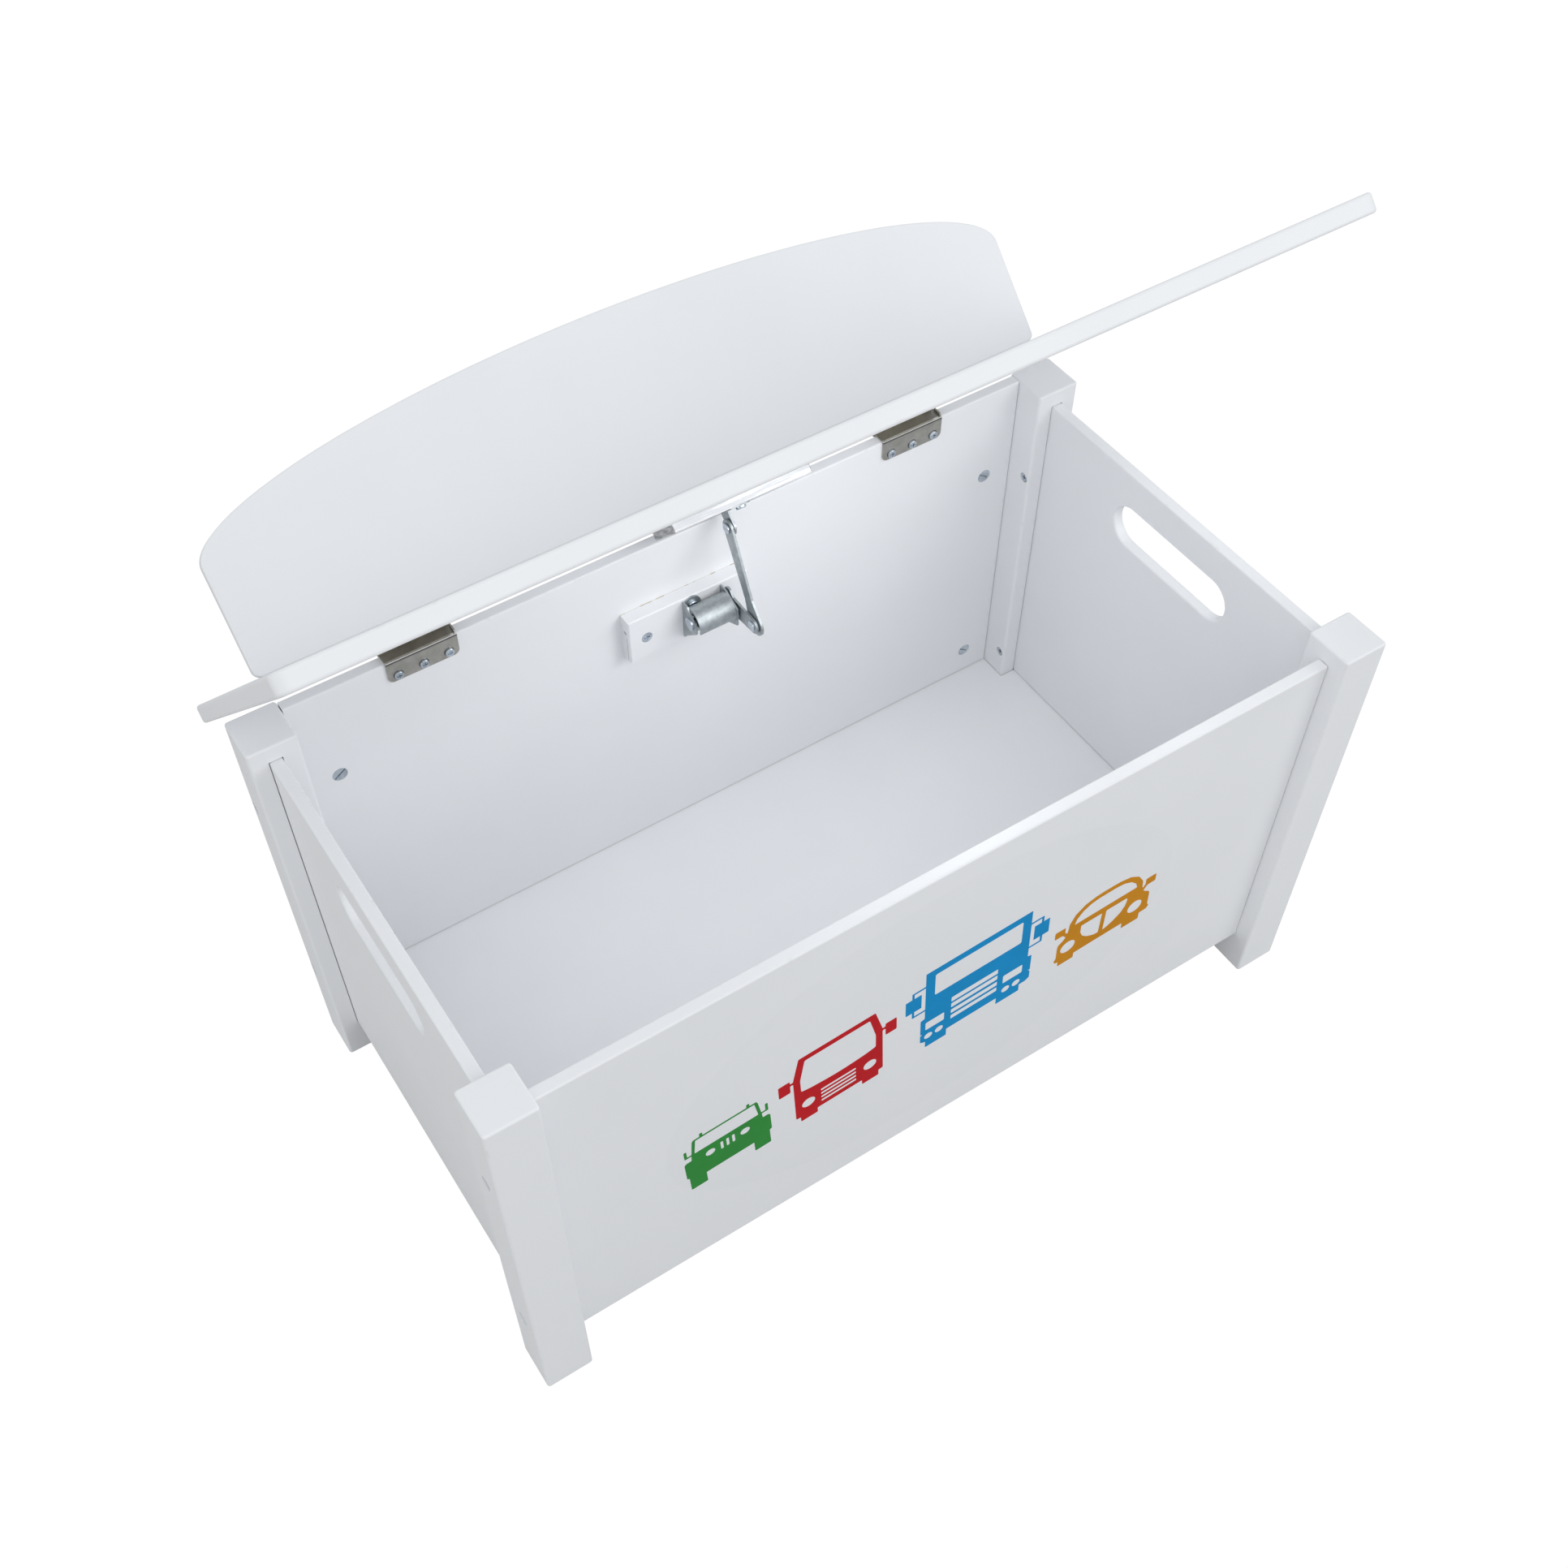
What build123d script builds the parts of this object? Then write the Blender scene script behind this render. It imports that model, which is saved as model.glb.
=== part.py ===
from build123d import *
from math import cos, radians, sin
import os

# Flat-pack toy box with a hinged seat lid, a backrest on the lid and a sprung lid stay.
# Millimetres. Origin on the floor under the middle of the four posts, +Z up,
# +X to the right along the front, the front faces -Y.

# Frame
WIDTH = 600.0
DEPTH = 320.0
POST_HEIGHT = 322.0
POST = 32.0
POST_ROUND = 2.0

# Box panels
PANEL = 8.0
PANEL_INSET = 12.0
BACK_INSET = 2.0
PANEL_FOOT = 33.0
PANEL_DROP = 12.0
PANEL_GAP = 0.5
EDGE_ROUND = 1.2
MORTISE_DEPTH = 10.0
TONGUE_GAP = 0.5
MORTISE_PLAY = 0.5

# Hand hold in each side panel
HOLD_LENGTH = 108.0
HOLD_HEIGHT = 31.0
HOLD_DROP = 53.0
HOLD_ROUND = 1.5

# Base
BASE = 6.0
BASE_TOP = 52.6
GROOVE_DEPTH = 3.0
GROOVE_SEAT = 0.1
GROOVE_PLAY = 0.7
BASE_GAP = 0.4

# Frame bolts and barrel nuts
BOLT_LOW = 75.0
BOLT_DROP = 72.0
BOLT = 4.0
BOLT_HOLE = 4.6
BOLT_HEAD = 8.4
BOLT_HEAD_HEIGHT = 4.2
BOLT_SINK = 5.0
BOLT_SINK_DIA = 9.2
HEX_KEY = 3.0
NUT_DIA = 10.0
NUT_LENGTH = 6.8
NUT_IN = 22.0
NUT_PLAY = 0.1
FIT = 0.05

# Side panel locking screws
LOCK_IN = 5.5
LOCK_SINK = 3.0
LOCK_SINK_DIA = 7.4
LOCK_REACH = 6.0
LOCK_SHANK = 3.4
LOCK_HEAD = 6.8
LOCK_HEAD_HEIGHT = 2.4

# Lid and backrest
LID = 11.0
LID_OVER_SIDE = 9.0
LID_OVER_FRONT = 1.7
LID_REAR = 9.4
LID_OVER_KNUCKLE = 0.7
LID_CORNER = 8.0
LID_ROUND = 2.0
OPEN_ANGLE = 45.56
BACK_IN = 23.8
BACK_HEIGHT = 118.0
BACK_RISE = 51.0
BACK = 9.0
BACK_FROM_HINGE = 21.0
BACK_FOOT_ROUND = 5.0
BACK_SCREW = 4.0
BACK_SCREW_HEAD = 8.0
BACK_SCREW_LENGTH = 35.0
BACK_SCREW_END = 46.0
BACK_SCREW_MID = 100.0

# Hinges
HINGE_IN = 121.0
HINGE_WIDTH = 47.0
KNUCKLE_BEHIND = 0.3
KNUCKLE = 5.0
HINGE_PIN = 2.4
LEAF = 1.2
LEAF_DROP = 15.5
LID_LEAF = 21.5
LEAF_CORNER = 4.0
KNUCKLES = 4
KNUCKLE_GAP = 0.3
CHEEK_UNDER = 0.3
CHEEK_GAP = 0.4
CHEEK_SHORT = 1.5
LEAF_SCREW = 2.9
LEAF_SCREW_HEAD = 6.0
LEAF_SCREW_LENGTH = 7.0
LEAF_SCREW_PITCH = 16.8
LEAF_SCREW_DROP = 11.0
LID_LEAF_SCREW = 15.5

# Lid batten
BATTEN_MID = 31.5
BATTEN_LENGTH = 99.0
BATTEN_WIDTH = 36.0
BATTEN = 9.0
BATTEN_FROM_HINGE = 14.0
BATTEN_SCREW = 3.5
BATTEN_SCREW_HEAD = 7.0
BATTEN_SCREW_LENGTH = 17.0
BATTEN_SCREW_IN = 13.0

# Stay
BLOCK_LEFT = -46.0
BLOCK_LENGTH = 90.0
BLOCK_HEIGHT = 36.0
BLOCK = 10.0
BLOCK_DROP = 46.0
BLOCK_SCREW = 4.0
BLOCK_SCREW_HEAD = 8.0
BLOCK_SCREW_LENGTH = 16.0
BLOCK_SCREW_PLACES = ((-33.0, 19.0), (9.0, 23.0))
SHEET = 1.2
PLATE_SCREW = 3.4
PLATE_SCREW_HEAD = 7.0
PLATE_SCREW_LENGTH = 9.0
PLATE_SCREW_PLACES = ((0.9, 6.8), (18.0, 27.5))
LID_PLATE_SCREW_X = 39.0
LID_PLATE_SCREW_S = 24.0
PIVOT_OUT = 10.0
PIVOT_DROP = 13.0
EAR_LEFT = -6.0
EAR_RIGHT = 23.8
AXLE = 5.0
LEVER_X = 25.0
PLATE = 1.6
ARM_X = 27.3
RIVET = 4.0
TOP_PIVOT_S = 18.4
TOP_PIVOT_H = -16.6
TOP_PIVOT_PLAY = 0.25
COVER_RADIUS = 10.4
COVER_BACK = 6.0
COVER_LOW = 3.0
COVER_SHEET = 1.0
ARM_FOOT = 8.0
ARM_WAIST = 4.2
ARM_HEAD = 5.6
SPRING_RADIUS = 4.6
SPRING_WIRE = 1.5
SPRING_TURNS = 9.0
LOBE_REACH = 8.5
LOBE_RADIUS = 4.0
LOBE_TILT = 61.4

# Sizes that follow from the ones above
LID_WIDTH = WIDTH + 2 * LID_OVER_SIDE
LID_RISE = KNUCKLE / 2 + LID_OVER_KNUCKLE
HINGE_BEHIND = KNUCKLE / 2 + KNUCKLE_BEHIND
CHEEK_HEIGHT = LID_RISE - CHEEK_UNDER
BACK_WIDTH = WIDTH - 2 * BACK_IN
BACK_SCREW_XS = (
    BACK_SCREW_END - BACK_WIDTH / 2, -BACK_SCREW_MID,
    BACK_SCREW_MID, BACK_WIDTH / 2 - BACK_SCREW_END,
)
HINGE_X = WIDTH / 2 - HINGE_IN
BOLT_HIGH = POST_HEIGHT - BOLT_DROP
PANEL_TOP = POST_HEIGHT - PANEL_DROP
PANEL_HEIGHT = PANEL_TOP - PANEL_FOOT
POST_X = WIDTH / 2 - POST
POST_Y = DEPTH / 2 - POST
FRONT_Y = -DEPTH / 2 + PANEL_INSET + PANEL / 2
BACK_Y = DEPTH / 2 - BACK_INSET - PANEL / 2
SIDE_X = WIDTH / 2 - PANEL_INSET - PANEL / 2
FRONT_INNER = FRONT_Y + PANEL / 2
BACK_INNER = BACK_Y - PANEL / 2
HINGE_Y = BACK_Y + PANEL / 2 + HINGE_BEHIND
HINGE_Z = POST_HEIGHT
LID_FRONT = HINGE_Y + DEPTH / 2 + LID_OVER_FRONT
BLOCK_FACE = BACK_INNER - BLOCK
BLOCK_TOP = POST_HEIGHT - BLOCK_DROP
BLOCK_SCREWS = [(x, BLOCK_TOP - drop) for x, drop in BLOCK_SCREW_PLACES]
PLATE_SCREWS = [(x, BLOCK_TOP - drop) for x, drop in PLATE_SCREW_PLACES]
PIVOT_Y = BLOCK_FACE - PIVOT_OUT
PIVOT_Z = BLOCK_TOP - PIVOT_DROP
BOLT_HEIGHTS = (BOLT_LOW, BOLT_HIGH)
NUT_X = POST_X - NUT_IN
HOLD_Z = POST_HEIGHT - HOLD_DROP
LID_TOP = LID_RISE + LID
LUG_X = ARM_X + PLATE + 0.6


def along_lid(s, h):
    """Offset from the hinge axis of a lid point, lid standing open."""
    turn = radians(OPEN_ANGLE)
    return (-s * cos(turn) + h * sin(turn), s * sin(turn) + h * cos(turn))


def on_lid(shape):
    """Swing a piece drawn on the shut lid, hinge axis at its origin, to the open lid."""
    return Pos(0, HINGE_Y, HINGE_Z) * Rot(-OPEN_ANGLE, 0, 0) * shape


def block(x0, x1, y0, y1, z0, z1):
    size = Box(abs(x1 - x0), abs(y1 - y0), abs(z1 - z0))
    return Pos((x0 + x1) / 2, (y0 + y1) / 2, (z0 + z1) / 2) * size


def rod_x(x0, x1, y, z, diameter):
    rod = Cylinder(diameter / 2, abs(x1 - x0))
    return Pos((x0 + x1) / 2, y, z) * Rot(0, 90, 0) * rod


def rod_y(x, y0, y1, z, diameter):
    rod = Cylinder(diameter / 2, abs(y1 - y0))
    return Pos(x, (y0 + y1) / 2, z) * Rot(90, 0, 0) * rod


def cross_recess(width, deep):
    """Cross slot cut down from the top face of a screw head."""
    arm = Box(width, width * 0.22, 2 * deep)
    return arm + Rot(0, 0, 90) * arm + Cylinder(width * 0.2, 2 * deep)


def pan_screw(head, height, shank, length):
    """Pan head screw, underside of the head at the origin, shank down -Z."""
    top = Pos(0, 0, height / 2) * Cylinder(head / 2, height)
    top = fillet(top.edges().sort_by(Axis.Z)[-1], height * 0.45)
    top -= Pos(0, 0, height) * cross_recess(head * 0.55, height * 0.6)
    stem = Pos(0, 0, -(length - shank) / 2) * Cylinder(shank / 2, length - shank)
    tip = Pos(0, 0, -length + shank / 2) * Rot(180, 0, 0) * Cone(shank / 2, shank / 8, shank)
    return top + stem + tip


def sunk_screw(head, shank, length):
    """Countersunk screw, flat of the head at the origin, shank down -Z."""
    deep = (head - shank) / 2
    top = Pos(0, 0, -deep / 2) * Rot(180, 0, 0) * Cone(head / 2, shank / 2, deep)
    stem = Pos(0, 0, -(length - shank) / 2) * Cylinder(shank / 2, length - shank)
    tip = Pos(0, 0, -length + shank / 2) * Rot(180, 0, 0) * Cone(shank / 2, shank / 8, shank)
    return top + stem + tip - cross_recess(head * 0.55, deep * 0.7)


def sunk_hole(head, shank, length):
    """Hole for a countersunk screw, a fit clear of it all round."""
    deep = (head - shank) / 2
    mouth = Pos(0, 0, -deep / 2) * Rot(180, 0, 0) * Cone(head / 2 + FIT, shank / 2 + FIT, deep)
    bore = Pos(0, 0, -length / 2) * Cylinder(shank / 2 + FIT, length)
    return mouth + bore


def group(shapes):
    return Compound(children=list(shapes))


# The box

def post(side, end):
    """A post at one corner: side -1 left, +1 right; end -1 front, +1 rear."""
    body = Box(POST, POST, POST_HEIGHT)
    body = fillet(body.edges().filter_by(Axis.Z), POST_ROUND)
    body = fillet(body.faces().sort_by(Axis.Z)[-1].edges(), POST_ROUND * 0.75)
    body = fillet(body.faces().sort_by(Axis.Z)[0].edges(), POST_ROUND * 0.5)
    x = side * (WIDTH / 2 - POST / 2)
    y = end * (DEPTH / 2 - POST / 2)
    body = Pos(x, y, POST_HEIGHT / 2) * body
    half = PANEL / 2 + MORTISE_PLAY
    body -= block(
        side * SIDE_X - half, side * SIDE_X + half,
        end * (POST_Y - 1), end * (POST_Y + MORTISE_DEPTH),
        PANEL_FOOT - MORTISE_PLAY, PANEL_TOP + MORTISE_PLAY,
    )
    bolt_y = FRONT_Y if end < 0 else BACK_Y
    lock_y = end * (POST_Y + LOCK_IN)
    outer = side * WIDTH / 2
    inner = side * POST_X
    for z in BOLT_HEIGHTS:
        body -= rod_x(inner - side, outer + side, bolt_y, z, BOLT_HOLE)
        body -= rod_x(outer - side * BOLT_SINK, outer + side, bolt_y, z, BOLT_SINK_DIA)
        body -= rod_x(inner - side, inner + side * LOCK_SINK, lock_y, z, LOCK_SINK_DIA)
        body -= rod_x(inner, side * SIDE_X, lock_y, z, LOCK_SHANK + 2 * FIT)
    return body


def cross_panel(mid_y, top, inward):
    """Front or back panel between two posts; inward is the +1 or -1 Y side with the nuts."""
    long = 2 * (POST_X - PANEL_GAP)
    height = top - PANEL_FOOT
    body = Box(long, PANEL, height)
    body = fillet(body.edges().filter_by(Axis.X), EDGE_ROUND)
    body = Pos(0, mid_y, (top + PANEL_FOOT) / 2) * body
    face = mid_y + inward * PANEL / 2
    body -= block(
        -long, long, face - inward * GROOVE_DEPTH, face + inward,
        BASE_TOP - BASE - GROOVE_SEAT, BASE_TOP + GROOVE_PLAY,
    )
    for side in (-1, 1):
        for z in BOLT_HEIGHTS:
            end = side * (NUT_X - NUT_DIA / 2 - 2)
            body -= rod_x(side * (POST_X + 1), end, mid_y, z, BOLT_HOLE)
            bore = NUT_DIA + 2 * NUT_PLAY
            deep = face - inward * (NUT_LENGTH + 0.4)
            body -= rod_y(side * NUT_X, deep, face + inward, z, bore)
    return body


def front_panel():
    return cross_panel(FRONT_Y, PANEL_TOP, 1)


def back_panel():
    body = cross_panel(BACK_Y, POST_HEIGHT, -1)
    depth = BLOCK_SCREW_LENGTH - BLOCK
    for x, z in BLOCK_SCREWS:
        body -= rod_y(x, BACK_INNER - 1, BACK_INNER + depth + 0.3, z, BLOCK_SCREW + 2 * FIT)
    for x in leaf_screw_xs():
        z = POST_HEIGHT - LEAF_SCREW_DROP
        deep = BACK_INNER + LEAF_SCREW_LENGTH - LEAF + 0.3
        body -= rod_y(x, BACK_INNER - 1, deep, z, LEAF_SCREW + 2 * FIT)
    return body


def side_panel(side):
    long = 2 * (POST_Y + MORTISE_DEPTH - TONGUE_GAP)
    body = Box(PANEL, long, PANEL_HEIGHT)
    body = fillet(body.edges().filter_by(Axis.Y), EDGE_ROUND)
    body = Pos(side * SIDE_X, 0, (PANEL_TOP + PANEL_FOOT) / 2) * body
    slot = extrude(Plane.YZ * SlotOverall(HOLD_LENGTH, HOLD_HEIGHT), PANEL * 2, both=True)
    body -= Pos(side * SIDE_X, 0, HOLD_Z) * slot
    near_z = HOLD_HEIGHT / 2 + 1
    near_y = HOLD_LENGTH / 2 + 1
    rims = body.edges().filter_by_position(Axis.Z, HOLD_Z - near_z, HOLD_Z + near_z)
    rims = rims.filter_by_position(Axis.Y, -near_y, near_y)
    on_face = [e for e in rims if abs(abs(e.center().X - side * SIDE_X) - PANEL / 2) < 0.01]
    body = fillet(on_face, HOLD_ROUND)
    face = side * (SIDE_X - PANEL / 2)
    body -= block(
        face - side, face + side * GROOVE_DEPTH, -long, long,
        BASE_TOP - BASE - GROOVE_SEAT, BASE_TOP + GROOVE_PLAY,
    )
    for end in (-1, 1):
        for z in BOLT_HEIGHTS:
            y = end * (POST_Y + LOCK_IN)
            deep = face + side * (LOCK_REACH + 0.3)
            body -= rod_x(face - side, deep, y, z, LOCK_SHANK + 2 * FIT)
    return body


def base_panel():
    reach_x = SIDE_X - PANEL / 2 + GROOVE_DEPTH - BASE_GAP
    front = FRONT_INNER - GROOVE_DEPTH + BASE_GAP
    back = BACK_INNER + GROOVE_DEPTH - BASE_GAP
    body = block(-reach_x, reach_x, front, back, BASE_TOP - BASE, BASE_TOP)
    clear_x = POST_X - BASE_GAP
    clear_y = POST_Y - BASE_GAP
    for side in (-1, 1):
        for end in (-1, 1):
            body -= block(
                side * clear_x, side * WIDTH, end * clear_y, end * DEPTH,
                BASE_TOP - 2 * BASE, BASE_TOP + BASE,
            )
    return body


def frame_bolt():
    """Socket head bolt, underside of the head at the origin, shank down -Z."""
    head = Pos(0, 0, BOLT_HEAD_HEIGHT / 2) * Cylinder(BOLT_HEAD / 2, BOLT_HEAD_HEIGHT)
    head = chamfer(head.edges().sort_by(Axis.Z)[-1], 0.4)
    key = extrude(RegularPolygon(HEX_KEY / 2, 6, major_radius=False), 2.5)
    head -= Pos(0, 0, BOLT_HEAD_HEIGHT - 2.5) * key
    long = POST - BOLT_SINK + NUT_IN + NUT_DIA / 2
    return head + Pos(0, 0, -long / 2) * Cylinder(BOLT / 2, long)


def frame_bolts():
    bolts = []
    seat = WIDTH / 2 - BOLT_SINK
    for side in (-1, 1):
        for y in (FRONT_Y, BACK_Y):
            for z in BOLT_HEIGHTS:
                bolts.append(Pos(side * seat, y, z) * Rot(0, side * 90, 0) * frame_bolt())
    return group(bolts)


def barrel_nut(side, mid_y, z, inward):
    face = mid_y + inward * (PANEL / 2 - 0.3)
    nut = rod_y(side * NUT_X, face, face - inward * NUT_LENGTH, z, NUT_DIA)
    nut -= rod_x(side * (NUT_X - NUT_DIA), side * (NUT_X + NUT_DIA), mid_y, z, BOLT + 2 * FIT)
    slot = Pos(side * NUT_X, face, z) * Rot(0, 35 * side, 0) * Box(NUT_DIA, 2.0, 1.2)
    return nut - slot


def barrel_nuts():
    nuts = []
    for side in (-1, 1):
        for z in BOLT_HEIGHTS:
            nuts.append(barrel_nut(side, FRONT_Y, z, 1))
            nuts.append(barrel_nut(side, BACK_Y, z, -1))
    return group(nuts)


def side_lock_screws():
    screws = []
    long = SIDE_X - PANEL / 2 - POST_X - LOCK_SINK + LOCK_REACH
    for side in (-1, 1):
        for end in (-1, 1):
            for z in BOLT_HEIGHTS:
                x = side * (POST_X + LOCK_SINK)
                y = end * (POST_Y + LOCK_IN)
                screw = pan_screw(LOCK_HEAD, LOCK_HEAD_HEIGHT, LOCK_SHANK, long)
                screws.append(Pos(x, y, z) * Rot(0, -side * 90, 0) * screw)
    return group(screws)


# The lid and backrest, drawn shut with the hinge axis at the origin

def leaf_screw_xs():
    return [
        side * HINGE_X + step * LEAF_SCREW_PITCH
        for side in (-1, 1)
        for step in (-1, 0, 1)
    ]


def batten_screw_xs():
    reach = BATTEN_LENGTH / 2 - BATTEN_SCREW_IN
    return (BATTEN_MID - reach, BATTEN_MID + reach)


def up_from(x, s, h, shape):
    """Stand a downward screw or hole on its head so that it points up into the lid."""
    return Pos(x, -s, h) * Rot(180, 0, 0) * shape


def lid_panel():
    body = Box(LID_WIDTH, LID_FRONT + LID_REAR, LID)
    corners = body.edges().filter_by(Axis.Z).sort_by(Axis.Y)
    body = fillet(corners[:2], LID_CORNER)
    corners = body.edges().filter_by(Axis.Z).sort_by(Axis.Y)
    body = fillet(corners[-2:], LID_CORNER / 2)
    body = fillet(body.faces().sort_by(Axis.Z)[-1].edges(), LID_ROUND)
    body = fillet(body.faces().sort_by(Axis.Z)[0].edges(), LID_ROUND)
    body = Pos(0, (LID_REAR - LID_FRONT) / 2, LID_RISE + LID / 2) * body
    mid = BACK_FROM_HINGE + BACK / 2
    for x in BACK_SCREW_XS:
        body -= up_from(x, mid, LID_RISE, sunk_hole(BACK_SCREW_HEAD, BACK_SCREW, LID + 1))
    for x in batten_screw_xs():
        long = BATTEN_SCREW_LENGTH - BATTEN + 0.3
        hole = Pos(0, 0, -long / 2) * Cylinder(BATTEN_SCREW / 2 + FIT, long)
        body -= up_from(x, BATTEN_FROM_HINGE + BATTEN_WIDTH / 2, LID_RISE, hole)
    for x in leaf_screw_xs():
        long = LEAF_SCREW_LENGTH - LEAF + 0.3
        hole = Pos(0, 0, -long / 2) * Cylinder(LEAF_SCREW / 2 + FIT, long)
        body -= up_from(x, LID_LEAF_SCREW, LID_RISE, hole)
    return on_lid(body)


def backrest_panel():
    shoulder = BACK_HEIGHT - BACK_RISE
    outline = Pos(0, shoulder / 2) * Rectangle(BACK_WIDTH, shoulder)
    outline += Pos(0, shoulder) * Ellipse(BACK_WIDTH / 2, BACK_RISE)
    corners = outline.vertices().sort_by(Axis.Y)
    outline = fillet(corners[:2], BACK_FOOT_ROUND)
    body = extrude(Plane.XZ * outline, BACK)
    faces = body.faces().filter_by(Axis.Y)
    body = fillet(faces.edges(), EDGE_ROUND)
    body = Pos(0, -BACK_FROM_HINGE, LID_TOP) * body
    for x in BACK_SCREW_XS:
        long = BACK_SCREW_LENGTH + 0.3
        hole = Pos(0, 0, -long / 2) * Cylinder(BACK_SCREW / 2 + FIT, long)
        body -= up_from(x, BACK_FROM_HINGE + BACK / 2, LID_RISE, hole)
    return on_lid(body)


def backrest_screws():
    screw = sunk_screw(BACK_SCREW_HEAD, BACK_SCREW, BACK_SCREW_LENGTH)
    mid = BACK_FROM_HINGE + BACK / 2
    return group(on_lid(up_from(x, mid, LID_RISE, screw)) for x in BACK_SCREW_XS)


def lid_batten():
    body = Box(BATTEN_LENGTH, BATTEN_WIDTH, BATTEN)
    body = chamfer(body.edges().filter_by(Axis.X), 0.6)
    mid = BATTEN_FROM_HINGE + BATTEN_WIDTH / 2
    under = LID_RISE - BATTEN
    body = Pos(BATTEN_MID, -mid, LID_RISE - BATTEN / 2) * body
    for x in batten_screw_xs():
        hole = sunk_hole(BATTEN_SCREW_HEAD, BATTEN_SCREW, BATTEN + 1)
        body -= up_from(x, mid, under, hole)
    long = PLATE_SCREW_LENGTH - SHEET + 0.3
    hole = Pos(0, 0, -long / 2) * Cylinder(PLATE_SCREW / 2 + FIT, long)
    body -= up_from(LID_PLATE_SCREW_X, LID_PLATE_SCREW_S, under, hole)
    return on_lid(body)


def batten_screws():
    screw = sunk_screw(BATTEN_SCREW_HEAD, BATTEN_SCREW, BATTEN_SCREW_LENGTH)
    mid = BATTEN_FROM_HINGE + BATTEN_WIDTH / 2
    return group(on_lid(up_from(x, mid, LID_RISE - BATTEN, screw)) for x in batten_screw_xs())


# The hinges

def knuckle_span(index):
    pitch = HINGE_WIDTH / KNUCKLES
    start = -HINGE_WIDTH / 2 + index * pitch
    return start + KNUCKLE_GAP / 2, start + pitch - KNUCKLE_GAP / 2


def box_leaf(side):
    """Leaf on the inner face of the back panel, cranked over its top edge."""
    mid = side * HINGE_X
    inner = BACK_INNER - LEAF
    plate = Box(HINGE_WIDTH, LEAF, LEAF_DROP + LEAF)
    body = Pos(0, inner + LEAF / 2, HINGE_Z + (LEAF - LEAF_DROP) / 2) * plate
    feet = body.edges().filter_by(Axis.Y).sort_by(Axis.Z)[:2]
    body = fillet(feet, LEAF_CORNER)
    edge = HINGE_Y - KNUCKLE / 2 - KNUCKLE_GAP
    end = HINGE_WIDTH / 2
    body += block(-end, end, inner, edge, HINGE_Z, HINGE_Z + LEAF)
    tip = edge - CHEEK_SHORT
    body += block(end - LEAF, end, inner, tip, HINGE_Z, HINGE_Z + CHEEK_HEIGHT)
    for index in range(0, KNUCKLES, 2):
        x0, x1 = knuckle_span(index)
        body += block(x0, x1, edge - 1, HINGE_Y, HINGE_Z, HINGE_Z + LEAF)
        body += rod_x(x0, x1, HINGE_Y, HINGE_Z, KNUCKLE)
    body -= rod_x(-HINGE_WIDTH, HINGE_WIDTH, HINGE_Y, HINGE_Z, HINGE_PIN + 0.02)
    for step in (-1, 0, 1):
        z = HINGE_Z - LEAF_SCREW_DROP
        body -= rod_y(step * LEAF_SCREW_PITCH, inner - 1, BACK_INNER + 1, z, LEAF_SCREW + 2 * FIT)
    return Pos(mid, 0, 0) * body


def lid_leaf(side):
    """Flat leaf on the underside of the lid."""
    under = LID_RISE - LEAF
    near = KNUCKLE / 2 + KNUCKLE_GAP
    end = HINGE_WIDTH / 2
    body = block(-end, end - LEAF - CHEEK_GAP, -LID_LEAF, -near, under, LID_RISE)
    ends = body.edges().filter_by(Axis.Z).sort_by(Axis.Y)[:2]
    body = fillet(ends, LEAF_CORNER)
    for index in range(1, KNUCKLES, 2):
        x0, x1 = knuckle_span(index)
        body += block(x0, x1, -near - 1, 0, under, LID_RISE)
        body += rod_x(x0, x1, 0, 0, KNUCKLE)
    body -= rod_x(-HINGE_WIDTH, HINGE_WIDTH, 0, 0, HINGE_PIN + 2 * FIT)
    for step in (-1, 0, 1):
        hole = Cylinder(LEAF_SCREW / 2 + FIT, 4 * LEAF)
        body -= Pos(step * LEAF_SCREW_PITCH, -LID_LEAF_SCREW, LID_RISE) * hole
    return on_lid(Pos(side * HINGE_X, 0, 0) * body)


def hinge_pin(side):
    mid = side * HINGE_X
    reach = HINGE_WIDTH / 2 + 0.2
    return rod_x(mid - reach, mid + reach, HINGE_Y, HINGE_Z, HINGE_PIN)


def box_leaf_screws():
    screw = pan_screw(LEAF_SCREW_HEAD, 1.7, LEAF_SCREW, LEAF_SCREW_LENGTH)
    y = BACK_INNER - LEAF
    z = POST_HEIGHT - LEAF_SCREW_DROP
    return group(Pos(x, y, z) * Rot(90, 0, 0) * screw for x in leaf_screw_xs())


def lid_leaf_screws():
    screw = pan_screw(LEAF_SCREW_HEAD, 1.7, LEAF_SCREW, LEAF_SCREW_LENGTH)
    under = LID_RISE - LEAF
    return group(on_lid(up_from(x, LID_LEAF_SCREW, under, screw)) for x in leaf_screw_xs())


# The stay

TOP_PIVOT = along_lid(TOP_PIVOT_S, TOP_PIVOT_H)
TOP_Y = HINGE_Y + TOP_PIVOT[0]
TOP_Z = HINGE_Z + TOP_PIVOT[1]
FOOT_Y = PIVOT_Y + TOP_PIVOT[0]
FOOT_Z = PIVOT_Z + TOP_PIVOT[1]


def plate_x(points, x0, thick):
    """Flat plate square to X, its outline given as (y, z) corners."""
    return Pos(x0, 0, 0) * extrude(Plane.YZ * make_face(Polyline(*points, close=True)), thick)


def bar_x(y0, z0, r0, y1, z1, r1, x0, thick):
    """Flat bar square to X, tapering from one round end to another."""
    ends = (Pos(y0, z0) * Circle(r0)).edges() + (Pos(y1, z1) * Circle(r1)).edges()
    return Pos(x0, 0, 0) * extrude(Plane.YZ * make_hull(ends), thick)


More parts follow.
